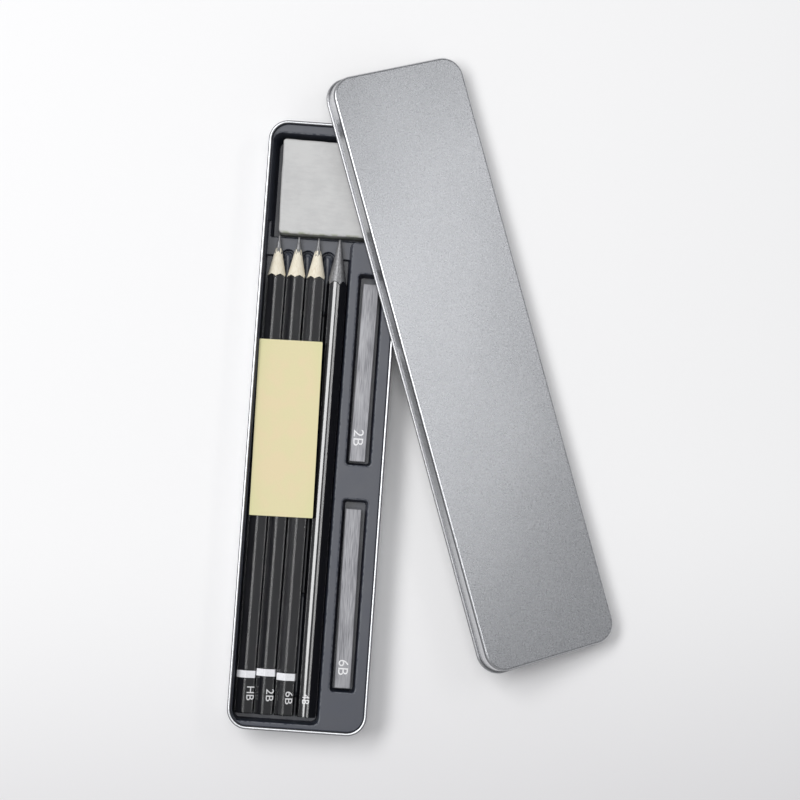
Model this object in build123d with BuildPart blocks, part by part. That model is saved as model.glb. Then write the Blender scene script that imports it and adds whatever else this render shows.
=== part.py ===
from build123d import *
import os
from math import acos, asin, atan2, cos, degrees, hypot, radians, sin, sqrt, tan

os.makedirs("parts", exist_ok=True)

# A flat slip-lid tin of sketching tools, open, with its lid leaning on it.
# The origin is the centre of the tin's underside. +X is across the tin, +Y runs
# along it towards the eraser, +Z is up. Millimetres throughout.
# The tools set the size of the insert, the insert that of the tin, the tin that of the lid.

# Six-sided pencils, measured over the lacquer
pencil_length = 175.0
pencil_flats = 6.7
corner_round = 0.3
lacquer = 0.12
lead_radius = 1.05
lead_play = 0.02
point_radius = 0.25
lead_shown = 4.7
wood_lip = 0.12
wood_taper = 12.1
shoulder_taper = 32.0
shoulder_depth = 0.08
band_length = 2.6
band_proud = 0.03
seat_gap = 0.2

# Wood-cased pencils from the left: grade, gap on the left at the point and at the
# tail, turn, start of the pale band from the tail
wood_pencils = [
    ("hb", 1.12, 0.67, -4.0, 12.9),
    ("2b", 0.21, 0.16, -7.0, 13.9),
    ("6b", 0.13, 0.28, -7.0, 12.8),
]

# Woodless pencil on their right: solid graphite in a thin lacquer, turned the other way
woodless_tip_gap = 0.42
woodless_tail_gap = 0.52
woodless_turn = 17.0
woodless_point = 0.35
woodless_taper = 10.7
woodless_shoulder_taper = 20.0
woodless_lacquer = 0.06

# Graphite sticks: grade, how far off its pocket's middle it lies across and along, turn
stick_width = 5.8
stick_length = 65.2
stick_chamfer = 0.25
sticks = [
    ("2b", -0.13, -1.0, -0.5),
    ("6b", -0.23, -1.0, 0.4),
]

# Kneaded eraser
eraser_length = 35.1
eraser_thickness = 11.8
eraser_bevel = 0.9
eraser_corner = 2.0
eraser_skew = 0.6

# Blank card that lies across the three wood-cased pencils
card_width = 23.1
card_length = 64.4
card_thickness = 0.35
card_turn = 0.85
card_side_room = 0.17
card_from_tails = 104.25

# Formed plastic insert that lines the tin
tray_sheet = 0.4
tray_play = 0.1
tray_drop = 1.7
tray_draft = 6.0
tray_outer_draft = 1.5
tray_end_draft = 3.0
tight_corner = 0.8
corner_shrink = 0.04
lip_bevel = 0.35

# Long pocket that holds the pencils
pencil_end_margin = 1.6
pencil_tail_room = 2.5
pencil_side_room = 1.03
pencil_pocket_corner = 2.6
pencil_floor = 4.2
cradle_radius = 1.95
cradle_head_room = 0.5
rib_overlap = 0.8
cradle_head_length = 23.0
cradle_tail_room = 9.2
cradle_tail_length = 38.0

# Low step under the points
step_length = 4.9
step_room = 2.15
step_corner = 1.6

# Wide pocket for the eraser
point_overhang = 1.2
point_gap = 0.6
eraser_far_room = 1.6
eraser_end_margin = 3.2
eraser_left_room = 3.45
eraser_right_room = 4.25
eraser_pocket_corner = 3.2
eraser_side_draft = 8.5

# Two pockets side by side with the pencils, one for each graphite stick
bridge_width = 3.1
stick_side_room = 1.7
stick_end_room = 2.4
stick_bridge = 12.4
stick_shift = 1.45
stick_side_margin = 3.75
stick_pocket_corner = 1.2
stick_seat = 7.0

# Tin of drawn sheet with a rolled rim
tin_height = 16.0
tin_sheet = 0.3
rim_roll = 1.2
rim_corner = 7.2
roll_lap = 0.05
foot_round = 1.4

# Lid: a shallow cap that slips over the rolled rim
lid_depth = 7.9
lid_sheet = 0.3
lid_roll = 1.2
lid_play = 0.2
lid_edge_round = 0.9

# Where the lid lies: the middle of its right-hand hem on the ground, and its swing
lid_foot_x = 76.6
lid_foot_y = 35.5
lid_swing = 19.17
lean_gap = 0.25


# Sizes that follow from the ones above
def rise(angle, length):
    """How far a wall that leans by this angle steps in over this height."""
    return length * tan(radians(angle))


def half_across(turn):
    """Half of a pencil's width across the tin, as it is turned in its bed."""
    return pencil_radius * cos(radians(30 - abs(turn)))


pencil_radius = pencil_flats / sqrt(3)
tip_gaps = [tip_gap for _, tip_gap, _, _, _ in wood_pencils] + [woodless_tip_gap]
tail_gaps = [tail_gap for _, _, tail_gap, _, _ in wood_pencils] + [woodless_tail_gap]
turns = [turn for _, _, _, turn, _ in wood_pencils] + [woodless_turn]

# Across the insert
pencil_pocket_width = sum(tip_gaps) + sum(2 * half_across(turn) for turn in turns) + pencil_side_room
stick_pocket_width = stick_width + 2 * stick_side_room
tray_width = tray_sheet + pencil_pocket_width + bridge_width + stick_pocket_width + stick_side_margin
tray_inside = tray_width / 2 - tray_sheet
pencil_pocket_right = pencil_pocket_width - tray_inside
stick_pocket_x = pencil_pocket_right + bridge_width + stick_pocket_width / 2

# Along the insert
tools_length = pencil_length + point_gap + eraser_length
tray_length = pencil_end_margin + pencil_tail_room + tools_length + eraser_far_room + eraser_end_margin
pencil_pocket_near = pencil_end_margin - tray_length / 2
pencil_tail_y = pencil_pocket_near + pencil_tail_room
point_y = pencil_tail_y + pencil_length
eraser_pocket_near = point_y - point_overhang
eraser_near = point_y + point_gap
eraser_far = eraser_near + eraser_length
eraser_pocket_far = eraser_far + eraser_far_room
pencil_pocket_head = eraser_pocket_near - step_length
stick_pocket_length = stick_length + 2 * stick_end_room
stick_middle_y = (eraser_pocket_near - tray_length / 2) / 2 + stick_shift
stick_pitch = stick_pocket_length + stick_bridge
stick_pocket_y = [stick_middle_y + stick_pitch / 2, stick_middle_y - stick_pitch / 2]

# Tin round the insert
wall_width = tray_width + 2 * tray_play + 2 * tin_sheet
wall_length = tray_length + 2 * tray_play + 2 * tin_sheet
wall_corner = rim_corner - rim_roll + roll_lap + tin_sheet
rim_width = wall_width + 2 * (rim_roll - roll_lap - tin_sheet)
rim_length = wall_length + 2 * (rim_roll - roll_lap - tin_sheet)
rim_line_z = tin_height - rim_roll / 2
tray_top = tin_height - tray_drop
tray_corner = wall_corner - tin_sheet - tray_play
eraser_floor = tin_sheet + tray_sheet

# Lid round the tin's rim
cap_width = rim_width + 2 * lid_play + 2 * lid_sheet
cap_length = rim_length + 2 * lid_play + 2 * lid_sheet
cap_corner = rim_corner + lid_play + lid_sheet
hem_half_width = cap_width / 2 - lid_sheet - roll_lap + lid_roll / 2
lid_top = lid_depth - lid_roll / 2


def axes_across(gaps):
    """X of the pencils' axes at one end, from the left-hand wall on."""
    edge = -tray_inside
    xs = []
    for gap, turn in zip(gaps, turns):
        xs.append(edge + gap + half_across(turn))
        edge += gap + 2 * half_across(turn)
    return xs


tip_xs = axes_across(tip_gaps)
tail_xs = axes_across(tail_gaps)


def cradle_lift():
    """Height of the pencils' axes over the ribs between them that keeps every flank clear."""
    reach = pencil_flats / 2 + cradle_radius + seat_gap
    lifts = []
    for xs in (tip_xs, tail_xs):
        for i in range(len(xs) - 1):
            half_pitch = (xs[i + 1] - xs[i]) / 2
            for flank in (radians(60 + turns[i]), radians(60 - turns[i + 1])):
                lifts.append((reach - half_pitch * cos(flank)) / sin(flank))
    return max(lifts)


pencil_axis_z = pencil_floor + cradle_lift()
step_height = pencil_axis_z - step_room


def lean_on_hem():
    """The lid's lean with its left-hand hem lying on the tin's rim."""
    return asin((tin_height + lean_gap) / (2 * hem_half_width))


def lean_on_corner():
    """The lid's lean with the inside of its top lying on the rim's far right corner."""
    across = (cos(radians(lid_swing)), sin(radians(lid_swing)))
    corner = (rim_width / 2 - rim_corner, rim_length / 2 - rim_corner)
    crest = corner[0] * across[0] + corner[1] * across[1] + rim_corner - rim_roll / 2
    span = lid_foot_x * across[0] + lid_foot_y * across[1] - crest
    height = rim_line_z - lid_roll / 2
    headroom = lid_top - lid_sheet - rim_roll / 2 - lean_gap
    return acos(headroom / hypot(span, height)) - atan2(span, height)


# The lid's own plane holds its hem's centre line, with z towards its top
lid_lean = degrees(max(lean_on_hem(), lean_on_corner()))
lid_place = Location((lid_foot_x, lid_foot_y, lid_roll / 2)) * Rot(0, 0, lid_swing) * Rot(0, lid_lean, 0)
lid_plane = Plane(lid_place * Location((-hem_half_width, 0, 0)))


def save(piece, node):
    piece.part.label = node
    export_step(piece.part, f"parts/{node}.step")


def rolled_edge(outline, radius):
    """A round bead along a closed outline."""
    with BuildSketch(Plane(origin=outline @ 0, z_dir=outline % 0)) as section:
        Circle(radius)
    sweep(sections=section.sketch, path=outline)


# Tin base: drawn sheet with a rolled rim
with BuildSketch(Plane.XY.offset(rim_line_z)) as rim_line:
    RectangleRounded(rim_width - rim_roll, rim_length - rim_roll, rim_corner - rim_roll / 2)

with BuildPart() as tin_base:
    with BuildSketch(Plane.XY):
        RectangleRounded(wall_width, wall_length, wall_corner)
    extrude(amount=rim_line_z)
    fillet(tin_base.faces().sort_by(Axis.Z)[0].edges(), foot_round)
    offset(amount=-tin_sheet, openings=tin_base.faces().sort_by(Axis.Z)[-1])
    rolled_edge(rim_line.sketch.face().outer_wire(), rim_roll / 2)
save(tin_base, "tin_base")

# Lid: the same sheet work, turned over, with its hem rolled outwards
lid_up = Axis(lid_plane.origin, lid_plane.z_dir)
hem_width = 2 * hem_half_width
hem_out = hem_half_width - cap_width / 2
with BuildSketch(lid_plane) as hem_line:
    RectangleRounded(hem_width, cap_length + 2 * hem_out, cap_corner + hem_out)

with BuildPart() as lid:
    with BuildSketch(lid_plane):
        RectangleRounded(cap_width, cap_length, cap_corner)
    extrude(amount=lid_top)
    fillet(lid.faces().sort_by(lid_up)[-1].edges(), lid_edge_round)
    offset(amount=-lid_sheet, openings=lid.faces().sort_by(lid_up)[0])
    rolled_edge(hem_line.sketch.face().outer_wire(), lid_roll / 2)
save(lid, "lid")

# Insert: every pocket is a drafted well, and its wall is the same well one sheet larger
pockets = [
    {
        "sides": (-tray_inside, pencil_pocket_right, pencil_pocket_near, pencil_pocket_head),
        "drafts": (tray_outer_draft, tray_draft, tray_end_draft, tray_draft),
        "corners": (pencil_pocket_corner, pencil_pocket_corner, tight_corner, tight_corner),
        "floor": pencil_floor,
    },
    {
        "sides": (-tray_inside, pencil_pocket_right, pencil_pocket_head - step_length, eraser_near + step_length),
        "drafts": (tray_outer_draft, tray_draft, 0, 0),
        "corners": (tight_corner, tight_corner, tight_corner, tight_corner),
        "floor": step_height,
    },
    {
        "sides": (-tray_inside, tray_inside, eraser_pocket_near, eraser_pocket_far),
        "drafts": (eraser_side_draft, eraser_side_draft, tray_draft, tray_draft),
        "corners": (tight_corner, tight_corner, eraser_pocket_corner, eraser_pocket_corner),
        "floor": eraser_floor,
    },
]
for middle_y in stick_pocket_y:
    stick_sides = (
        stick_pocket_x - stick_pocket_width / 2,
        stick_pocket_x + stick_pocket_width / 2,
        middle_y - stick_pocket_length / 2,
        middle_y + stick_pocket_length / 2,
    )
    pockets.append(
        {
            "sides": stick_sides,
            "drafts": (tray_draft, tray_draft, tray_draft, tray_draft),
            "corners": (stick_pocket_corner, stick_pocket_corner, stick_pocket_corner, stick_pocket_corner),
            "floor": stick_seat,
        }
    )


def well_outline(pocket, height, out):
    """A pocket's outline at this height, moved out all round."""
    left, right, near, far = pocket["sides"]
    depth = tray_top - height
    steps = [rise(draft, depth) - out for draft in pocket["drafts"]]
    radii = [max(corner - depth * corner_shrink, corner / 2) + out for corner in pocket["corners"]]
    left, right, near, far = left + steps[0], right - steps[1], near + steps[2], far - steps[3]
    with BuildSketch(Plane.XY.offset(height)) as outline:
        with BuildLine():
            FilletPolyline((left, near), (right, near), (right, far), (left, far), radius=radii, close=True)
        make_face()
    return outline.sketch


def well(pocket, grow=0.0):
    """A four-sided pocket from its bevelled lip down to its floor."""
    floor = well_outline(pocket, pocket["floor"] - grow, grow)
    neck = well_outline(pocket, tray_top - lip_bevel, grow)
    lip = well_outline(pocket, tray_top, grow + lip_bevel)
    loft(sections=[floor, neck, lip], ruled=True)


def corner_outline(height, out):
    """What rounding takes off the platform's corner at this height."""
    radius = step_corner + rise(tray_draft, tray_top - height) - out
    x = pencil_pocket_right + step_corner
    y = eraser_pocket_near - step_corner
    left, far = x - radius, y + radius
    with BuildSketch(Plane.XY.offset(height)) as outline:
        with BuildLine():
            Polyline((left, y), (left - step_corner, y), (left - step_corner, far + step_corner))
            Polyline((left - step_corner, far + step_corner), (x, far + step_corner), (x, far))
            RadiusArc((x, far), (left, y), -radius)
        make_face()
    return outline.sketch


def rounded_corner(grow=0.0):
    """Rounds the platform's corner between the step and the eraser's pocket."""
    floor = corner_outline(step_height - grow, grow)
    neck = corner_outline(tray_top - lip_bevel, grow)
    lip = corner_outline(tray_top, grow + lip_bevel)
    loft(sections=[floor, neck, lip], ruled=True)


def between(xs):
    """X midway between each pencil and the next."""
    return [(left + right) / 2 for left, right in zip(xs, xs[1:])]


rib_head_y = pencil_pocket_head + rib_overlap
head_middle_y = rib_head_y - cradle_head_length / 2
tail_middle_y = pencil_pocket_near + cradle_tail_room + cradle_tail_length / 2
cradles = [(x, head_middle_y, cradle_head_length) for x in between(tip_xs)]
cradles += [(x, tail_middle_y, cradle_tail_length) for x in between(tail_xs)]


def cradle(x, y, length):
    """A half-round rib with domed ends, lying along the tin."""
    plane = Plane(origin=(x, y, pencil_floor), x_dir=(0, 1, 0), z_dir=(-1, 0, 0))
    with BuildSketch(plane) as half:
        SlotOverall(length, 2 * cradle_radius)
        Rectangle(length, cradle_radius, align=(Align.CENTER, Align.MAX), mode=Mode.SUBTRACT)
    revolve(half.sketch, axis=Axis((x, y, pencil_floor), (0, 1, 0)), mode=Mode.SUBTRACT)


def cradle_hollow(x, y, length):
    """The space under a rib, between its domes."""
    straight = length - 2 * cradle_radius
    with BuildSketch(Plane(origin=(x, y - straight / 2, pencil_floor), z_dir=(0, 1, 0))) as section:
        Circle(cradle_radius - tray_sheet)
    extrude(section.sketch, amount=straight, mode=Mode.SUBTRACT)


def rib_notch(x, grow=0.0):
    """The round end that the pencils' pocket cuts in the step, past a rib's dome."""
    radius = cradle_radius + cradle_head_room + grow
    depth = step_height - pencil_floor + grow
    with Locations((x, rib_head_y - cradle_radius, pencil_floor - grow)):
        Cone(radius, radius + rise(tray_draft, depth), depth, align=(Align.CENTER, Align.CENTER, Align.MIN))


with BuildPart() as hollows:
    for pocket in pockets:
        well(pocket)
    rounded_corner()
    for x in between(tip_xs):
        rib_notch(x)
    with BuildSketch(Plane.XY):
        RectangleRounded(2 * tray_inside, tray_length - 2 * tray_sheet, tray_corner - tray_sheet)
    extrude(amount=tray_top, mode=Mode.INTERSECT)
    for place in cradles:
        cradle(*place)

with BuildPart() as insert_tray:
    with BuildSketch(Plane.XY.offset(tray_top)):
        RectangleRounded(tray_width, tray_length, tray_corner)
    extrude(amount=-tray_sheet)
    for pocket in pockets:
        well(pocket, grow=tray_sheet)
    rounded_corner(grow=tray_sheet)
    for x in between(tip_xs):
        rib_notch(x, grow=tray_sheet)
    with BuildSketch(Plane.XY):
        RectangleRounded(tray_width, tray_length, tray_corner)
    extrude(amount=tray_top, mode=Mode.INTERSECT)
    add(hollows.part, mode=Mode.SUBTRACT)
    for place in cradles:
        cradle_hollow(*place)
save(insert_tray, "insert_tray")


# Pencils: each is built along its own axis, from the tail end towards the point
def pencil_plane(index):
    sideways = tip_xs[index] - tail_xs[index]
    axis = (sideways, sqrt(pencil_length**2 - sideways**2), 0)
    return Plane(origin=(tail_xs[index], pencil_tail_y, pencil_axis_z), x_dir=(0, 0, 1), z_dir=axis)


def hexagon(flats, turn=0.0, corner=0.0, mode=Mode.ADD):
    """A pencil's section, its corners rounded by the lacquer where corner is given."""
    with BuildSketch(mode=Mode.PRIVATE) as section:
        RegularPolygon(radius=flats / sqrt(3), side_count=6, rotation=turn)
        if corner:
            fillet(section.vertices(), corner)
    add(section.sketch, mode=mode)


def cutter(radius, distance, taper, steep):
    """A cutter's line that ends here, with a steep shoulder where it runs off the facets."""
    shoulder = pencil_flats / 2 - shoulder_depth
    shoulder_distance = distance - (shoulder - radius) / tan(radians(taper))
    start = shoulder_distance - (pencil_flats - shoulder) / tan(radians(steep))
    return [(pencil_flats, start), (shoulder, shoulder_distance), (radius, distance)]


def sharpen(plane, profile):
    """Keeps what lies inside the turned profile, given as radius and distance from the tail."""
    side = Plane(origin=plane.origin, x_dir=plane.x_dir, z_dir=plane.y_dir)
    along = [(0, 0), (pencil_flats, 0)] + profile + [(0, pencil_length)]
    with BuildSketch(side) as outline:
        with BuildLine():
            Polyline([(radius, -distance) for radius, distance in along], close=True)
        make_face()
    revolve(outline.sketch, axis=Axis(plane.origin, plane.z_dir), mode=Mode.INTERSECT)


wood_end = pencil_length - lead_shown
cased_profile = cutter(lead_radius + wood_lip, wood_end, wood_taper, shoulder_taper)
cased_profile += [(lead_radius, wood_end), (point_radius, pencil_length)]
woodless_profile = cutter(woodless_point, pencil_length, woodless_taper, woodless_shoulder_taper)


def hex_sleeve(plane, outer, inner, start, end, turn):
    with BuildSketch(plane.offset(start)) as ring:
        hexagon(outer, turn, corner_round)
        hexagon(inner, turn, mode=Mode.SUBTRACT)
    extrude(ring.sketch, amount=end - start)


bare_flats = pencil_flats - 2 * lacquer
for index, (grade, _, _, turn, band_start) in enumerate(wood_pencils):
    plane = pencil_plane(index)
    node = f"pencil_{grade}"

    with BuildPart() as lead:
        with BuildSketch(plane.offset(lacquer)):
            Circle(lead_radius)
        extrude(amount=pencil_length - lacquer)
        sharpen(plane, cased_profile)
    save(lead, f"{node}_lead")

    # The casing is two grooved slats glued along the lead, seam on two corners
    seam = Plane(origin=plane.origin, x_dir=plane.z_dir, z_dir=plane.y_dir).rotated((60 + turn, 0, 0))
    for side, keep in (("left", Keep.TOP), ("right", Keep.BOTTOM)):
        with BuildPart() as slat:
            with BuildSketch(plane.offset(lacquer)):
                hexagon(bare_flats, turn)
                Circle(lead_radius + lead_play, mode=Mode.SUBTRACT)
            extrude(amount=pencil_length - lacquer)
            sharpen(plane, cased_profile)
            split(bisect_by=seam, keep=keep)
        save(slat, f"{node}_slat_{side}")

    with BuildPart() as coat:
        hex_sleeve(plane, pencil_flats, bare_flats, band_start + band_length, pencil_length, turn)
        sharpen(plane, cased_profile)
    save(coat, f"{node}_lacquer")

    with BuildPart() as band:
        hex_sleeve(plane, pencil_flats + 2 * band_proud, bare_flats, band_start, band_start + band_length, turn)
    save(band, f"{node}_band")

    with BuildPart() as dip:
        with BuildSketch(plane):
            hexagon(pencil_flats, turn, corner_round)
        extrude(amount=lacquer)
        hex_sleeve(plane, pencil_flats, bare_flats, lacquer, band_start, turn)
    save(dip, f"{node}_dipped_end")

# Woodless pencil
plane = pencil_plane(len(wood_pencils))
core_flats = pencil_flats - 2 * woodless_lacquer
with BuildPart() as core:
    with BuildSketch(plane):
        hexagon(core_flats, woodless_turn, corner_round)
    extrude(amount=pencil_length)
    sharpen(plane, woodless_profile)
save(core, "pencil_4b_core")

with BuildPart() as skin:
    with BuildSketch(plane):
        hexagon(pencil_flats, woodless_turn, corner_round)
        hexagon(core_flats, woodless_turn, corner_round, Mode.SUBTRACT)
    extrude(amount=pencil_length)
    sharpen(plane, woodless_profile)
save(skin, "pencil_4b_lacquer")

# Graphite sticks
for middle_y, (grade, across, along, turn) in zip(stick_pocket_y, sticks):
    seat = (stick_pocket_x + across, middle_y + along, stick_seat + seat_gap)
    with BuildPart() as stick:
        with BuildSketch(Plane(origin=seat, z_dir=(0, 0, 1)).rotated((0, 0, turn))):
            Rectangle(stick_width, stick_length)
        extrude(amount=stick_width)
        chamfer(stick.edges(), stick_chamfer)
    save(stick, f"stick_{grade}")

# Kneaded eraser: a soft block, a little out of square
eraser_left = eraser_left_room - tray_inside
eraser_right = tray_inside - eraser_right_room
with BuildPart() as eraser:
    with BuildSketch(Plane.XY.offset(eraser_floor + seat_gap)):
        with BuildLine():
            Polyline(
                (eraser_left + eraser_skew, eraser_near),
                (eraser_right, eraser_near),
                (eraser_right, eraser_far - eraser_skew),
                (eraser_left, eraser_far),
                close=True,
            )
        make_face()
    extrude(amount=eraser_thickness)
    fillet(eraser.edges().filter_by(Axis.Z), eraser_corner)
    chamfer(eraser.faces().filter_by(Axis.Z).edges(), eraser_bevel)
save(eraser, "kneaded_eraser")

# Blank card lying on the pencils' ridges, its corner beside the insert's wall
card_reach = card_width * cos(radians(card_turn)) + card_length * sin(radians(card_turn))
card_x = card_side_room + card_reach / 2 - tray_inside
card_z = pencil_axis_z + pencil_radius + seat_gap
with BuildPart() as card:
    with BuildSketch(Plane(origin=(card_x, pencil_tail_y + card_from_tails, card_z)).rotated((0, 0, card_turn))):
        Rectangle(card_width, card_length)
    extrude(amount=card_thickness)
save(card, "blank_card")

print("tin", round(rim_width, 3), "x", round(rim_length, 3), "pencils' axis height", round(pencil_axis_z, 3))
print("lid lean", round(lid_lean, 3), "degrees")
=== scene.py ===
import bmesh
import bpy
import math
from mathutils import Matrix, Quaternion, Vector, noise


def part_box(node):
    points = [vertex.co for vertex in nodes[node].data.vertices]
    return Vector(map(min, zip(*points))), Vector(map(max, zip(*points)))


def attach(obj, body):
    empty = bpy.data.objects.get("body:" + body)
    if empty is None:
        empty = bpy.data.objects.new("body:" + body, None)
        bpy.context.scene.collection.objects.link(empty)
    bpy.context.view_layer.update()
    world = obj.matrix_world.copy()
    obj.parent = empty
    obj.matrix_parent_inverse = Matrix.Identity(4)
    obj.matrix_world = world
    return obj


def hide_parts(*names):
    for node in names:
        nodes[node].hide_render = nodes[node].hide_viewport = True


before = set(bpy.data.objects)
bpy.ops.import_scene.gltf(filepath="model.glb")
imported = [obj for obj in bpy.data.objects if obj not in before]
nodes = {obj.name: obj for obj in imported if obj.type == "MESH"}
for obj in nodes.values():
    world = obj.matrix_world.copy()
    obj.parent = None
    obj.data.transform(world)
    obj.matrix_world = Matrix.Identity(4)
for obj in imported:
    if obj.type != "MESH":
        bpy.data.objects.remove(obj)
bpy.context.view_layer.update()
mm = 0.001
casedGrades = ["hb", "2b", "6b"]  # the pencils in wood; the 4B is woodless
print("frame loaded,", len(nodes), "pieces")


# helpers for materials

class Wire:  # an output socket that takes part in arithmetic
    def __init__(self, paint, socket):
        self.paint = paint
        self.socket = socket

    def output(self, name):
        return Wire(self.paint, self.socket.node.outputs[name])

    def __add__(self, other):
        return self.paint.calculate("ADD", self, other)

    def __radd__(self, other):
        return self.paint.calculate("ADD", other, self)

    def __sub__(self, other):
        return self.paint.calculate("SUBTRACT", self, other)

    def __rsub__(self, other):
        return self.paint.calculate("SUBTRACT", other, self)

    def __mul__(self, other):
        return self.paint.calculate("MULTIPLY", self, other)

    def __rmul__(self, other):
        return self.paint.calculate("MULTIPLY", other, self)

    def __truediv__(self, other):
        return self.paint.calculate("DIVIDE", self, other)

    def __rtruediv__(self, other):
        return self.paint.calculate("DIVIDE", other, self)


class Paint:  # a material being mixed
    def __init__(self, name):
        self.material = bpy.data.materials.new(name)
        self.material.use_nodes = True
        self.tree = self.material.node_tree
        self.tree.nodes.clear()
        self.place = self.add("ShaderNodeTexCoord").output("Object")

    # any node: its type, its settings, then what its sockets hold
    def add(self, kind, settings=None, sockets=None):
        node = self.tree.nodes.new(kind)
        for key, value in (settings or {}).items():
            setattr(node, key, value)
        usable = [socket for socket in node.inputs if not socket.is_unavailable]
        for key, value in (sockets or {}).items():
            if isinstance(key, int):
                socket = usable[key]
            else:
                socket = next(found for found in usable if found.name == key)
            if isinstance(value, Wire):
                self.tree.links.new(value.socket, socket)
            else:
                socket.default_value = value
        shown = [socket for socket in node.outputs if not socket.is_unavailable]
        return Wire(self, shown[0]) if shown else None

    def calculate(self, operation, first, second):
        return self.add("ShaderNodeMath", {"operation": operation}, {0: first, 1: second})

    # 0 below low, 1 above high, eased between
    def step(self, wire, low, high):
        settings = {"interpolation_type": "SMOOTHSTEP"}
        return self.add("ShaderNodeMapRange", settings, {"Value": wire, "From Min": low, "From Max": high})

    # 1 between low and high, eased to 0 over the given width on both sides
    def band(self, wire, low, high, ease):
        return self.step(wire, low - ease, low) * (1 - self.step(wire, high, high + ease))

    # several bands together, each with its low, high, ease and amount
    def stripes(self, wire, rows):
        return sum(self.band(wire, low, high, ease) * amount for low, high, ease, amount in rows)

    def together(self, first, second, share):  # two patterns, the first with the given share
        return first * share + second * (1 - share)

    def varied(self, value, pattern, spread):  # the value, give or take half the spread
        return value + (pattern - 0.5) * spread

    def between(self, amount, low, high):  # colours
        return self.add("ShaderNodeMix", {"data_type": "RGBA"}, {"Factor": amount, "A": low, "B": high})

    def shaded(self, colour, amount):  # the colour made darker or lighter by a number
        tone = self.add("ShaderNodeCombineXYZ", None, {0: amount, 1: amount, 2: amount})
        settings = {"data_type": "RGBA", "blend_type": "MULTIPLY"}
        return self.add("ShaderNodeMix", settings, {"Factor": 1.0, "A": colour, "B": tone})

    def axis(self, letter, place=None):  # in millimetres
        split = self.add("ShaderNodeSeparateXYZ", None, {0: place or self.place})
        return split.output(letter) / mm

    # the place seen from a turned and moved frame
    def seenFrom(self, matrix):
        inverse = matrix.inverted()
        return self.add("ShaderNodeMapping", {"vector_type": "POINT"}, {
            "Vector": self.place,
            "Location": inverse.to_translation(),
            "Rotation": inverse.to_euler(),
        })

    # cloudy noise whose lumps are this many millimetres, longer along the axes that stretch names
    def clouds(self, size, stretch=(1, 1, 1), detail=3.0, turn=0.0):
        scale = [1 / (size * mm * part) for part in stretch]
        sockets = {"Vector": self.place, "Rotation": (0, 0, math.radians(turn)), "Scale": scale}
        mapping = self.add("ShaderNodeMapping", {"vector_type": "POINT"}, sockets)
        return self.add("ShaderNodeTexNoise", None, {"Vector": mapping, "Scale": 1.0, "Detail": detail})

    def relief(self, height, depth, normal=None):  # depth in millimetres
        sockets = {"Strength": 1.0, "Distance": depth * mm, "Height": height}
        if normal:
            sockets["Normal"] = normal
        return self.add("ShaderNodeBump", None, sockets)

    def softEdges(self, radius):  # edges that catch the light as rounded ones do
        return self.add("ShaderNodeBevel", {"samples": 6}, {"Radius": radius * mm})

    def finish(self, **sockets):
        names = {key.replace("_", " "): value for key, value in sockets.items()}
        shader = self.add("ShaderNodeBsdfPrincipled", None, names)
        self.add("ShaderNodeOutputMaterial", None, {"Surface": shader})
        return self.material


def coat(piece, material):
    piece.data.materials.clear()
    piece.data.materials.append(material)


def dress(names, material):
    for name in names:
        coat(nodes[name], material)


# tinplate of the tin and its lid
# stripes are where the sheet is painted darker as painted shade or lighter as painted light: from, to,
# ease in millimetres, and amount

tinSheet = {  # heights from the rim's top
    "light": (0.72, 0.73, 0.75, 1),
    "dark": (0.58, 0.59, 0.61, 1),
    "soilAndShade": (0.14, 0.14, 0.15, 1),
    "roughness": 0.34,
    "paintedShadeStripes": [(-1.2, -0.16, 0.10, 1.0)],  # painted shade under the rolled rim
}
# painted shade: the lid's tinplate is coloured darker than the tin's, though it is the same sheet
lidSheet = {  # heights from the lid's foot
    "light": (0.51, 0.517, 0.538, 1),
    "dark": (0.38, 0.387, 0.405, 1),
    "soilAndShade": (0.10, 0.10, 0.11, 1),
    "paintedLightTone": (0.64, 0.645, 0.66, 1),
    "roughness": 0.28,
    "paintedShadeStripes": [
        (-1.2, 0.10, 0.12, 1.0),  # painted shade under the rolled hem
        (0.55, 0.75, 0.25, 0.5),  # painted shade in the crease over the hem
        (6.1, 6.7, 0.18, 0.8),  # painted shade on the shoulder, where the rounding starts
    ],
    "paintedLightStripes": [
        (0.3, 6.1, 0.15, 1.0),  # painted light: the skirt lighter than the top
        (7.0, 7.10, 0.12, 1.0),  # painted highlight line on the rounding under the top
    ],
}
satin = {
    "metallic": 0.88,
    "grainSize": 0.45,
    "grainDepth": 0.010,
    "grainShare": 0.8,
    "cloudSize": 45.0,
    "toneSpan": (0.32, 0.68),
    "roughSpread": 0.08,
}

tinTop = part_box("tin_base")[1].z / mm
# the lid's own frame: swung about the upright, then leant on the tin
lidSwing = math.radians(19.17)
lidLean = math.radians(18.18)
lidFoot = Vector((76.6, 35.5, 0.6)) * mm
lidTurn = Matrix.Rotation(lidSwing, 4, "Z") @ Matrix.Rotation(lidLean, 4, "Y")
lidFrame = Matrix.Translation(lidFoot) @ lidTurn


def heightOnTin(paint):
    return paint.axis("Z") - tinTop


def heightOnLid(paint):
    return paint.axis("Z", paint.seenFrom(lidFrame))


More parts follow.
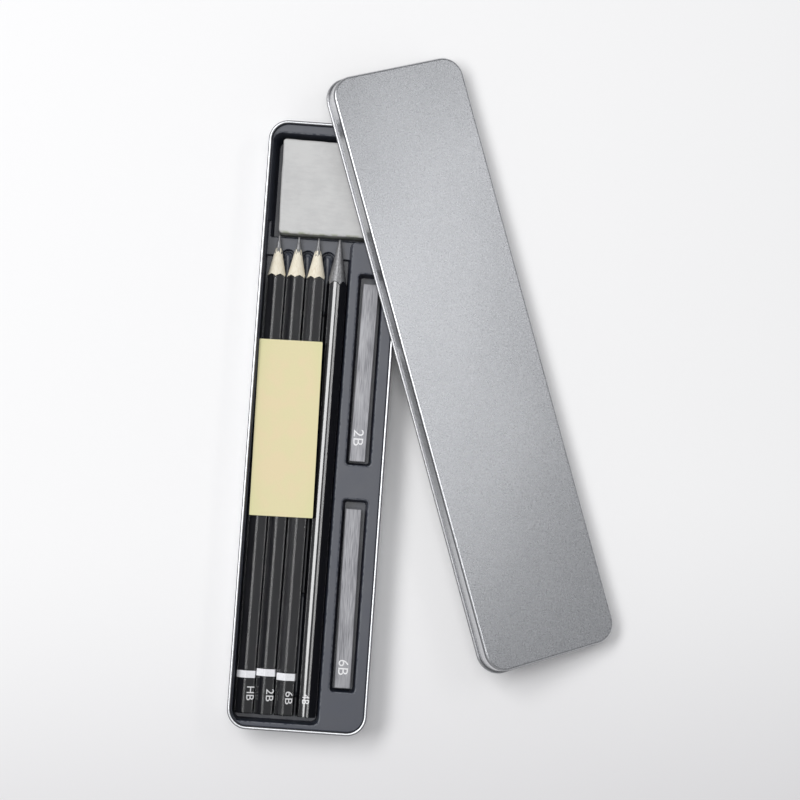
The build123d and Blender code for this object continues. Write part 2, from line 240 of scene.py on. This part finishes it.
def mixTinplate(name, sheet, heightOn):
    paint = Paint(name)
    height = heightOn(paint)
    grain = paint.clouds(satin["grainSize"], detail=2.0)
    cloud = paint.clouds(satin["cloudSize"], detail=1.0)
    tone = paint.step(paint.together(grain, cloud, satin["grainShare"]), *satin["toneSpan"])
    colour = paint.between(tone, sheet["dark"], sheet["light"])
    # painted light: the lid's skirt and a line on its rounding are coloured lighter
    if "paintedLightStripes" in sheet:
        colour = paint.between(paint.stripes(height, sheet["paintedLightStripes"]), colour, sheet["paintedLightTone"])
    # painted shade: stripes along the height darken the sheet
    return paint.finish(
        Base_Color=paint.between(paint.stripes(height, sheet["paintedShadeStripes"]), colour, sheet["soilAndShade"]),
        Metallic=satin["metallic"],
        Roughness=paint.varied(sheet["roughness"], grain, satin["roughSpread"]),
        Normal=paint.relief(grain, satin["grainDepth"]),
    )


dress(["tin_base"], mixTinplate("tinSatin", tinSheet, heightOnTin))
dress(["lid"], mixTinplate("lidSatin", lidSheet, heightOnLid))
print("tinplate done")


# black formed plastic of the insert

trayPlastic = {
    "light": (0.024, 0.031, 0.055, 1),
    "dark": (0.013, 0.017, 0.032, 1),
    # lip colour: scuffs and painted highlight
    "scuffAndHighlight": (0.16, 0.17, 0.19, 1),
    "roughness": 0.38,
    "roughSpread": 0.12,
    "ior": 1.65,
    "cloudSize": 9.0,
    "grainSize": 0.3,
    "grainDepth": 0.003,
    "edgeRound": 0.5,
    "lipSlope": (0.55, 0.85, 0.08),  # how far up a lip's bevel faces: low, high, ease
    "scuffAndHighlightSize": 1.2,
    "scuffAndHighlightSpan": (0.30, 0.62),
}


def mixTrayPlastic():
    paint = Paint("insertBlackPlastic")
    cloud = paint.clouds(trayPlastic["cloudSize"])
    grain = paint.clouds(trayPlastic["grainSize"], detail=2.0)
    slope = paint.add("ShaderNodeNewGeometry").output("True Normal")
    upward = paint.add("ShaderNodeSeparateXYZ", None, {0: slope}).output("Z")
    rubbedAndLitPatches = paint.step(paint.clouds(trayPlastic["scuffAndHighlightSize"], detail=4.0), *trayPlastic["scuffAndHighlightSpan"])
    # scuffs and painted highlight on the lip bevels that face upward, broken into patches
    lipScuffsAndHighlights = paint.band(upward, *trayPlastic["lipSlope"]) * rubbedAndLitPatches
    plain = paint.between(cloud, trayPlastic["dark"], trayPlastic["light"])
    return paint.finish(
        Base_Color=paint.between(lipScuffsAndHighlights, plain, trayPlastic["scuffAndHighlight"]),
        Roughness=paint.varied(trayPlastic["roughness"], cloud, trayPlastic["roughSpread"]),
        IOR=trayPlastic["ior"],
        Normal=paint.relief(grain, trayPlastic["grainDepth"], paint.softEdges(trayPlastic["edgeRound"])),
    )


dress(["insert_tray"], mixTrayPlastic())
print("insert done")


# pencils: where each one's axis is across the tin at its tail and at its tip, in millimetres

pencils = {
    "hb": {"tailX": -19.50, "tipX": -19.05},
    "2b": {"tailX": -12.30, "tipX": -11.80},
    "6b": {"tailX": -4.90, "tipX": -4.55},
    "4b": {"tailX": 2.95, "tipX": 3.20},
}
pencilLength = 175.0
pencilHalf = 3.35
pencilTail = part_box("pencil_4b_core")[0].y / mm
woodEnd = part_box("pencil_hb_slat_left")[1].y / mm

lacquer = {
    "colour": (0.010, 0.010, 0.012, 1),
    "worn": (0.017, 0.017, 0.019, 1),
    "wearSize": 1.6,
    "wearSpan": (0.4, 0.75),
    "roughness": 0.13,
    "roughSpread": 0.06,
    "ior": 1.95,
    "peelSize": 0.45,
    "peelDepth": 0.0015,
    "edgeRound": 0.85,
}
gloss = {
    "colour": (0.005, 0.005, 0.007, 1),
    "smeared": (0.012, 0.012, 0.014, 1),
    "smearSize": 3.0,
    "roughness": 0.06,
    "roughSpread": 0.07,
    "ior": 1.9,
    "rippleSize": 0.9,
    "ripple": 0.0025,
    "edgeRound": 0.8,
}
# crownAt and facetEnd: millimetres across from the axis
woodless = {"edgeRound": 0.4, "crownAt": -0.55, "crown": 0.17, "facetEnd": 0.90}
bandPaint = {
    "colour": (0.95, 0.95, 0.98, 1),
    "soilAndShade": (0.82, 0.82, 0.85, 1),
    "soilSize": 0.8,
    "soilSpan": (0.45, 0.8),
    "roughness": 0.4,
    "roughSpread": 0.2,
}
cedar = {
    "light": (0.92, 0.86, 0.72, 1),
    "dark": (0.78, 0.69, 0.53, 1),
    "smudged": (0.20, 0.20, 0.20, 1),
    "grainSize": 0.30,
    "grainAlong": 20.0,
    "grainShare": 0.75,
    "grainDepth": 0.02,
    "fleckSize": 0.5,
    "toneSpan": (0.40, 0.72),
    "notchSize": 0.50,
    "notchSpan": (0.35, 0.65),
    "ragged": 2.3,
    "smudgeSpan": (0.10, 0.22),
    "roughness": 0.72,
    "roughSpread": 0.2,
}
leadGraphite = {
    "light": (0.42, 0.42, 0.43, 1),
    "dark": (0.17, 0.17, 0.175, 1),
    "metallic": 0.45,
    "roughness": 0.40,
    "roughSpread": 0.25,
    "streakSize": 0.20,
    "streakAlong": 12.0,
    "streakShare": 0.75,
    "streakDepth": 0.010,
    "cloudSize": 0.25,
    "cloudAlong": 1.0,
    "cloudDetail": 2.0,
    "toneSpan": (0.36, 0.66),
}


def acrossPencil(paint, grade):  # millimetres to the right of the pencil's axis
    pencil = pencils[grade]
    run = (paint.axis("Y") - pencilTail) / pencilLength
    return paint.axis("X") - pencil["tailX"] - run * (pencil["tipX"] - pencil["tailX"])


def mixLacquer():
    paint = Paint("lacquerMattBlack")
    wear = paint.clouds(lacquer["wearSize"], stretch=(1, 6, 1))
    peel = paint.clouds(lacquer["peelSize"], detail=2.0)
    worn = paint.step(wear, *lacquer["wearSpan"])
    return paint.finish(
        Base_Color=paint.between(worn, lacquer["colour"], lacquer["worn"]),
        Roughness=paint.varied(lacquer["roughness"], wear, lacquer["roughSpread"]),
        IOR=lacquer["ior"],
        Normal=paint.relief(peel, lacquer["peelDepth"], paint.softEdges(lacquer["edgeRound"])),
    )


# height: the surface's own crowns in millimetres
def mixGloss(name, edgeRound, height=None):
    paint = Paint(name)
    smear = paint.clouds(gloss["smearSize"], stretch=(1, 9, 1), detail=4.0)
    ripple = paint.clouds(gloss["rippleSize"], stretch=(1, 5, 1), detail=1.0) * gloss["ripple"]
    surface = ripple + height(paint) if height else ripple
    return paint.finish(
        Base_Color=paint.between(smear, gloss["colour"], gloss["smeared"]),
        Roughness=gloss["roughness"] + smear * gloss["roughSpread"],
        IOR=gloss["ior"],
        Normal=paint.relief(surface, 1.0, paint.softEdges(edgeRound)),
    )


def woodlessCrown(paint):  # each facet is a little rounded
    off = acrossPencil(paint, "4b") - woodless["crownAt"]
    off = paint.calculate("MINIMUM", off, woodless["facetEnd"] - woodless["crownAt"])
    return off * off * (-0.5 * woodless["crown"])


def mixBandPaint():
    paint = Paint("bandWhitePaint")
    soil = paint.clouds(bandPaint["soilSize"])
    soilAndShade = paint.step(soil, *bandPaint["soilSpan"])
    return paint.finish(
        Base_Color=paint.between(soilAndShade, bandPaint["colour"], bandPaint["soilAndShade"]),
        Roughness=paint.varied(bandPaint["roughness"], soil, bandPaint["roughSpread"]),
    )


# for the leads and for the sticks
def mixGraphite(name, look):
    paint = Paint(name)
    streak = paint.clouds(look["streakSize"], stretch=(1, look["streakAlong"], 1), detail=4.0)
    cloud = paint.clouds(look["cloudSize"], stretch=(1, look["cloudAlong"], 1), detail=look["cloudDetail"])
    tone = paint.step(paint.together(streak, cloud, look["streakShare"]), *look["toneSpan"])
    return paint.finish(
        Base_Color=paint.between(tone, look["dark"], look["light"]),
        Metallic=look["metallic"],
        Roughness=paint.varied(look["roughness"], streak, look["roughSpread"]),
        Normal=paint.relief(streak, look["streakDepth"]),
    )


def mixCedar():
    paint = Paint("casingCedar")
    grain = paint.clouds(cedar["grainSize"], stretch=(1, cedar["grainAlong"], 1), detail=4.0)
    fleck = paint.clouds(cedar["fleckSize"], stretch=(1, 3, 1), detail=2.0)
    tone = paint.step(paint.together(grain, fleck, cedar["grainShare"]), *cedar["toneSpan"])
    wood = paint.between(tone, cedar["light"], cedar["dark"])
    # the cutter leaves the wood ragged at the lead
    notch = paint.clouds(cedar["notchSize"], stretch=(1, 14, 1), detail=0.0)
    edge = paint.axis("Y") + (paint.step(notch, *cedar["notchSpan"]) * cedar["ragged"] - woodEnd)
    smudge = paint.step(edge, *cedar["smudgeSpan"])
    return paint.finish(
        Base_Color=paint.between(smudge, wood, cedar["smudged"]),
        Roughness=paint.varied(cedar["roughness"], grain, cedar["roughSpread"]),
        Normal=paint.relief(grain, cedar["grainDepth"]),
    )


def casedNodes(part):  # that part of each wood-cased pencil
    return [f"pencil_{grade}_{part}" for grade in casedGrades]


dress(casedNodes("lacquer"), mixLacquer())
dress(casedNodes("dipped_end"), mixGloss("dipGlossBlack", gloss["edgeRound"]))
dress(["pencil_4b_lacquer"], mixGloss("lacquerGlossBlack", woodless["edgeRound"], woodlessCrown))
dress(casedNodes("band"), mixBandPaint())
dress(casedNodes("slat_left") + casedNodes("slat_right"), mixCedar())
dress(casedNodes("lead") + ["pencil_4b_core"], mixGraphite("leadGraphite", leadGraphite))
print("pencils done")


# square graphite sticks

stickGraphite = {
    "light": (0.40, 0.40, 0.42, 1),
    "dark": (0.13, 0.13, 0.145, 1),
    "metallic": 0.25,
    "roughness": 0.42,
    "roughSpread": 0.2,
    "streakSize": 0.22,
    "streakAlong": 30.0,
    "streakShare": 0.65,
    "streakDepth": 0.006,
    "cloudSize": 4.0,
    "cloudAlong": 4.0,
    "cloudDetail": 3.0,
    "toneSpan": (0.30, 0.70),
}

dress(["stick_2b", "stick_6b"], mixGraphite("stickGraphite", stickGraphite))
print("sticks done")


# shapes

rounded = {"profile": 0.5, "material": -1}


def newObject(name, data):
    made = bpy.data.objects.new(name, data)
    bpy.context.scene.collection.objects.link(made)
    return made


def toObject(bm, name):
    mesh = bpy.data.meshes.new(name)
    bm.to_mesh(mesh)
    bm.free()
    return newObject(name, mesh)


def meshOf(piece):  # as its modifiers or its curve make it
    depsgraph = bpy.context.evaluated_depsgraph_get()
    return bpy.data.meshes.new_from_object(piece.evaluated_get(depsgraph))


# kneaded eraser

eraser = {
    "inset": 0.12,
    "skew": 0.6,
    "cornerRound": 1.3,
    "edgeRound": 0.65,
    "sharp": 1.2,  # radians, past which an edge is rounded
    "voxel": 0.45,
    "dents": 0.16,
    "dentSize": 8.0,
    "waves": 0.30,
    "waveSize": 5.5,
    "light": (0.62, 0.62, 0.615, 1),
    "dark": (0.54, 0.54, 0.54, 1),
    "handled": (0.40, 0.43, 0.34, 1),
    "smudgeSize": 9.0,
    "smudgeShare": 0.55,
    "streakSize": 1.1,
    "streakTurn": 52,
    "streakShare": 0.3,
    "fineSize": 0.45,
    "fineShare": 0.15,
    "toneSpan": (0.34, 0.62),
    "grimeReach": (0.3, 1.3),  # from the near edge
    "grimeSize": 3.2,
    "grimeSpan": (0.40, 0.60),
    "roughness": 0.60,
    "roughSpread": 0.2,
    "reliefDepth": 0.035,
}


def makeEraser():
    low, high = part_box("kneaded_eraser")
    slack = Vector([eraser["inset"] * mm] * 3)
    low, high = low + slack, high - slack
    middle = (low + high) / 2
    bm = bmesh.new()
    bmesh.ops.create_cube(bm, size=1.0)
    bmesh.ops.scale(bm, vec=high - low, verts=bm.verts)
    bmesh.ops.translate(bm, vec=middle, verts=bm.verts)
    nearLeft = [vert for vert in bm.verts if vert.co.x < middle.x and vert.co.y < middle.y]
    farRight = [vert for vert in bm.verts if vert.co.x > middle.x and vert.co.y > middle.y]
    bmesh.ops.translate(bm, vec=(eraser["skew"] * mm, 0, 0), verts=nearLeft)
    bmesh.ops.translate(bm, vec=(0, -eraser["skew"] * mm, 0), verts=farRight)
    upright = [edge for edge in bm.edges if abs(edge.verts[0].co.z - edge.verts[1].co.z) > mm]
    cornerRound = eraser["cornerRound"] * mm
    bmesh.ops.bevel(bm, geom=upright, offset=cornerRound, affect="EDGES", segments=5, **rounded)
    shared = [edge for edge in bm.edges if len(edge.link_faces) == 2]
    level = [edge for edge in shared if edge.calc_face_angle() > eraser["sharp"]]
    edgeRound = eraser["edgeRound"] * mm
    bmesh.ops.bevel(bm, geom=level, offset=edgeRound, affect="EDGES", segments=3, **rounded)
    piece = toObject(bm, "eraserPutty")
    remesh = piece.modifiers.new("remesh", "REMESH")
    remesh.mode = "VOXEL"
    remesh.voxel_size = eraser["voxel"] * mm
    mesh = meshOf(piece)
    piece.modifiers.clear()
    piece.data = mesh
    for vert in mesh.vertices:
        away = (vert.co - middle).normalized()
        side = Vector((away.x, away.y, 0))
        dent = noise.noise(vert.co / (eraser["dentSize"] * mm))
        wave = min(noise.noise(Vector((vert.co.x, vert.co.y, 0)) / (eraser["waveSize"] * mm)), 0)
        vert.co += (away * dent * eraser["dents"] + side * wave * eraser["waves"]) * mm
    for face in mesh.polygons:
        face.use_smooth = True
    coat(piece, mixPutty())
    return piece


def mixPutty():
    paint = Paint("eraserPuttyGrey")
    smudge = paint.clouds(eraser["smudgeSize"], stretch=(1, 1.4, 1), detail=4.0)
    streak = paint.clouds(eraser["streakSize"], stretch=(3, 1, 1), detail=4.0, turn=eraser["streakTurn"])
    fine = paint.clouds(eraser["fineSize"])
    worked = smudge * eraser["smudgeShare"] + streak * eraser["streakShare"] + fine * eraser["fineShare"]
    clean = paint.between(paint.step(worked, *eraser["toneSpan"]), eraser["dark"], eraser["light"])
    fromEdge = paint.axis("Y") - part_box("kneaded_eraser")[0].y / mm
    fingered = paint.step(paint.clouds(eraser["grimeSize"]), *eraser["grimeSpan"])
    grime = (1 - paint.step(fromEdge, *eraser["grimeReach"])) * fingered
    return paint.finish(
        Base_Color=paint.between(grime, clean, eraser["handled"]),
        Roughness=paint.varied(eraser["roughness"], smudge, eraser["roughSpread"]),
        Normal=paint.relief(paint.together(streak, fine, 0.5), eraser["reliefDepth"]),
    )


putty = makeEraser()
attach(putty, "eraser")
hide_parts("kneaded_eraser")
print("eraser done,", len(putty.data.polygons), "faces")


# blank card

card = {
    "width": 23.1,
    "length": 64.4,
    "thickness": 0.3,
    "turn": 0.85,
    "cornerRound": 0.35,
    "cutEvery": 1.6,
    "curl": 0.22,
    "curlAlong": 0.6,
    "curlAcross": 0.4,
    "light": (0.80, 0.725, 0.44, 1),
    "pink": (0.83, 0.71, 0.45, 1),
    "green": (0.77, 0.73, 0.42, 1),
    "cloudSize": 9.0,
    "pinkSpan": (0.40, 0.62),
    "greenSpan": (0.35, 1.0),
    "greenAlong": 0.5,
    "greenAcross": 0.6,
    "greenCloud": 0.5,
    "fibreSize": 0.45,
    "fibreTone": 0.06,
    "fibreDepth": 0.006,
    "roughness": 0.80,
    "roughSpread": 0.1,
}


def cardFrame():
    low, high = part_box("blank_card")
    middle = Vector(((low.x + high.x) / 2, (low.y + high.y) / 2, low.z))
    return Matrix.Translation(middle) @ Matrix.Rotation(math.radians(card["turn"]), 4, "Z")


def makeCard():
    bm = bmesh.new()
    bmesh.ops.create_grid(bm, x_segments=1, y_segments=1, size=0.5)
    bmesh.ops.scale(bm, vec=(card["width"] * mm, card["length"] * mm, 1), verts=bm.verts)
    cornerRound = card["cornerRound"] * mm
    bmesh.ops.bevel(bm, geom=bm.verts[:], offset=cornerRound, affect="VERTICES", segments=3, **rounded)
    for axis, length in enumerate((card["width"], card["length"])):
        cuts = int(length / card["cutEvery"])
        normal = Vector((0, 0, 0))
        normal[axis] = 1
        for i in range(1, cuts):
            place = normal * ((i / cuts - 0.5) * length * mm)
            sheet = bm.verts[:] + bm.edges[:] + bm.faces[:]
            bmesh.ops.bisect_plane(bm, geom=sheet, plane_co=place, plane_no=normal)
    for vert in bm.verts:
        along = vert.co.y / (card["length"] * mm / 2)
        across = vert.co.x / (card["width"] * mm / 2)
        bow = along * along * card["curlAlong"] + across * across * card["curlAcross"]
        vert.co.z += card["curl"] * mm * bow
    top = bmesh.ops.extrude_face_region(bm, geom=bm.faces[:])
    raised = [part for part in top["geom"] if isinstance(part, bmesh.types.BMVert)]
    bmesh.ops.translate(bm, vec=(0, 0, card["thickness"] * mm), verts=raised)
    bmesh.ops.recalc_face_normals(bm, faces=bm.faces)
    bmesh.ops.transform(bm, matrix=cardFrame(), verts=bm.verts)
    piece = toObject(bm, "cardBlank")
    coat(piece, mixCardPaper())
    return piece


def mixCardPaper():
    paint = Paint("cardPaleYellow")
    fibre = paint.clouds(card["fibreSize"], stretch=(1, 1.6, 1), detail=5.0)
    cloud = paint.clouds(card["cloudSize"], detail=2.0)
    own = paint.seenFrom(cardFrame())
    across = paint.axis("X", own) / (card["width"] / 2)
    along = paint.axis("Y", own) / (card["length"] / 2)
    fromMiddle = across * across * card["greenAcross"] + along * along * card["greenAlong"]
    # greener towards the edges, broken up by clouds
    greenerTowardEdges = paint.varied(fromMiddle, cloud, card["greenCloud"])
    warm = paint.between(paint.step(cloud, *card["pinkSpan"]), card["light"], card["pink"])
    tone = paint.between(paint.step(greenerTowardEdges, *card["greenSpan"]), warm, card["green"])
    return paint.finish(
        Base_Color=paint.shaded(tone, paint.varied(1.0, fibre, card["fibreTone"])),
        Roughness=paint.varied(card["roughness"], fibre, card["roughSpread"]),
        Normal=paint.relief(fibre, card["fibreDepth"]),
    )


blankCard = makeCard()
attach(blankCard, "card")
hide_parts("blank_card")
print("card done,", len(blankCard.data.polygons), "faces")


# hardness marks, in the frame's millimetres
# along and across: the middle of the mark; facet: its lean in degrees; slide: off the facet's middle

pencilMarks = {
    "hb": {"text": "HB", "facet": 26.0, "along": -98.4, "slide": 0.60, "cap": 2.9, "length": 5.0},
    "2b": {"text": "2B", "facet": 23.0, "along": -98.55, "slide": 0.65, "cap": 2.9, "length": 4.5},
    "6b": {"text": "6B", "facet": 23.0, "along": -99.1, "slide": 0.2, "cap": 2.8, "length": 4.6},
    "4b": {"text": "4B", "facet": -13.0, "along": -99.15, "slide": 0.6, "cap": 2.6, "length": 3.7},
}
stickMarks = {
    "stick_2b": {"text": "2B", "across": 15.15, "along": -3.05, "cap": 3.6, "length": 5.9},
    "stick_6b": {"text": "6B", "across": 15.55, "along": -86.65, "cap": 3.6, "length": 5.5},
}
markPaint = {
    "colour": (0.84, 0.84, 0.85, 1),
    "worn": (0.52, 0.52, 0.54, 1),
    "wearSize": 0.4,
    "wearSpan": (0.5, 0.85),
    "roughness": 0.5,
    "roughSpread": 0.2,
    "relief": 0.02,
    "curveSteps": 6,
}


def mixMarkPaint():
    paint = Paint("markWhitePaint")
    wear = paint.clouds(markPaint["wearSize"])
    worn = paint.step(wear, *markPaint["wearSpan"])
    return paint.finish(
        Base_Color=paint.between(worn, markPaint["colour"], markPaint["worn"]),
        Roughness=paint.varied(markPaint["roughness"], wear, markPaint["roughSpread"]),
    )


markMaterial = mixMarkPaint()


# plain letters, length along the reading direction and cap across it, laid in the given frame
def makeMark(name, mark, place):
    curve = bpy.data.curves.new(name, "FONT")
    curve.body = mark["text"]
    curve.extrude = markPaint["relief"] * mm / 2
    curve.resolution_u = markPaint["curveSteps"]
    letters = newObject(name, curve)
    mesh = meshOf(letters)
    bpy.data.objects.remove(letters)
    xs = [vert.co.x for vert in mesh.vertices]
    ys = [vert.co.y for vert in mesh.vertices]
    centre = Vector(((min(xs) + max(xs)) / 2, (min(ys) + max(ys)) / 2, 0))
    stretch = (mark["length"] * mm / (max(xs) - min(xs)), mark["cap"] * mm / (max(ys) - min(ys)), 1, 1)
    mesh.transform(place @ Matrix.Diagonal(stretch) @ Matrix.Translation(-centre))
    piece = newObject(name, mesh)
    coat(piece, markMaterial)
    return piece


def frameOf(reading, up, origin):  # columns: reading direction, letters' up, out of the surface
    turn = Matrix((reading, up, reading.cross(up))).transposed().to_4x4()
    return Matrix.Translation(origin) @ turn


def markPencil(grade, mark):
    pencil = pencils[grade]
    low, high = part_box("pencil_4b_lacquer" if grade == "4b" else f"pencil_{grade}_dipped_end")
    run = (mark["along"] - pencilTail) / pencilLength
    axisX = pencil["tailX"] + (pencil["tipX"] - pencil["tailX"]) * run
    angle = math.radians(mark["facet"])
    up = Vector((math.cos(angle), 0, -math.sin(angle)))
    reading = Vector((pencil["tailX"] - pencil["tipX"], -pencilLength, 0)).normalized()
    out = reading.cross(up).normalized()
    axis = Vector((axisX * mm, mark["along"] * mm, (low.z + high.z) / 2))
    centre = axis + out * (pencilHalf + markPaint["relief"] / 2) * mm + up * mark["slide"] * mm
    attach(makeMark(f"mark_pencil_{grade}", mark, frameOf(reading, up, centre)), f"pencil_{grade}")


def markStick(node, mark):
    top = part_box(node)[1].z
    centre = Vector((mark["across"] * mm, mark["along"] * mm, top + markPaint["relief"] * mm / 2))
    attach(makeMark(f"mark_{node}", mark, frameOf(Vector((0, -1, 0)), Vector((1, 0, 0)), centre)), node)


for grade, mark in pencilMarks.items():
    markPencil(grade, mark)
for node, mark in stickMarks.items():
    markStick(node, mark)
print("marks done")


# table, light and camera

table = {
    "size": 3.0,
    "cells": 8,
    "below": 0.02,  # millimetres under the tin
    "bright": (0.97, 0.967, 0.97, 1),
    "dim": (0.74, 0.73, 0.745, 1),
    "dimAcross": 0.12,  # painted light falloff: the white dims toward the near side and a little to the right
    "dimNear": 0.90,
    "dimSpan": (25.0, 195.0),
    "roughness": 0.85,
}
sky = {"colour": (0.97, 0.98, 1.0, 1), "strength": 0.31}
# place: metres from the middle of the tin's underside; size: across and along; power in watts
lamps = [
    {"name": "keyBox", "place": (-0.58, 0.22, 1.16), "size": (0.95, 0.42), "turn": 0, "power": 9.3},
    {"name": "topBox", "place": (0.02, 0.10, 1.45), "size": (0.50, 0.80), "turn": 0, "power": 4.2},
    {"name": "lidLamp", "place": (0.705, 0.372, 0.96), "size": (0.50, 0.14), "turn": -30, "power": 0.68},
]
lampAim = (0.03, 0.0, 0.0)
camera = {
    "aim": (29.441, 12.445, 0.0),
    "distance": 864.45,
    "tilt": 2.901,
    "yaw": -0.673,
    "roll": 4.022,
    "lens": 104.93,
    "sensor": 36,
    "clip": (0.05, 20),  # metres
}


def makeTable():
    bm = bmesh.new()
    bmesh.ops.create_grid(bm, x_segments=table["cells"], y_segments=table["cells"], size=table["size"] / 2)
    bmesh.ops.translate(bm, vec=(0, 0, -table["below"] * mm), verts=bm.verts)
    piece = toObject(bm, "tableTop")
    paint = Paint("tableWhite")
    # painted light falloff across the table
    fall = paint.axis("X") * table["dimAcross"] - paint.axis("Y") * table["dimNear"]
    paintedFalloff = paint.step(fall, *table["dimSpan"])
    white = paint.between(paintedFalloff, table["bright"], table["dim"])
    coat(piece, paint.finish(Base_Color=white, Roughness=table["roughness"]))


def makeLamps():
    for lamp in lamps:
        light = bpy.data.lights.new(lamp["name"], "AREA")
        light.shape = "RECTANGLE"
        light.size, light.size_y = lamp["size"]
        light.energy = lamp["power"]
        holder = newObject(lamp["name"], light)
        holder.location = lamp["place"]
        toward = Vector(lampAim) - holder.location
        spin = Quaternion((0, 0, 1), math.radians(lamp["turn"]))
        holder.rotation_euler = (toward.to_track_quat("-Z", "Y") @ spin).to_euler()
    world = bpy.data.worlds.new("studio")
    world.use_nodes = True
    background = world.node_tree.nodes["Background"]
    background.inputs["Color"].default_value = sky["colour"]
    background.inputs["Strength"].default_value = sky["strength"]
    bpy.context.scene.world = world


def makeCamera():
    yaw, tilt, roll = [math.radians(camera[name]) for name in ("yaw", "tilt", "roll")]
    turn = Matrix.Rotation(yaw, 4, "Y") @ Matrix.Rotation(tilt, 4, "X") @ Matrix.Rotation(roll, 4, "Z")
    back = Matrix.Translation((0, 0, camera["distance"] * mm))
    lens = bpy.data.cameras.new("bench")
    lens.lens = camera["lens"]
    lens.sensor_width = camera["sensor"]
    lens.clip_start, lens.clip_end = camera["clip"]
    holder = newObject("bench", lens)
    holder.matrix_world = Matrix.Translation(Vector(camera["aim"]) * mm) @ turn @ back
    bpy.context.scene.camera = holder


makeTable()
makeLamps()
makeCamera()
bpy.context.scene.view_settings.view_transform = "Standard"
print("table, light and camera done")
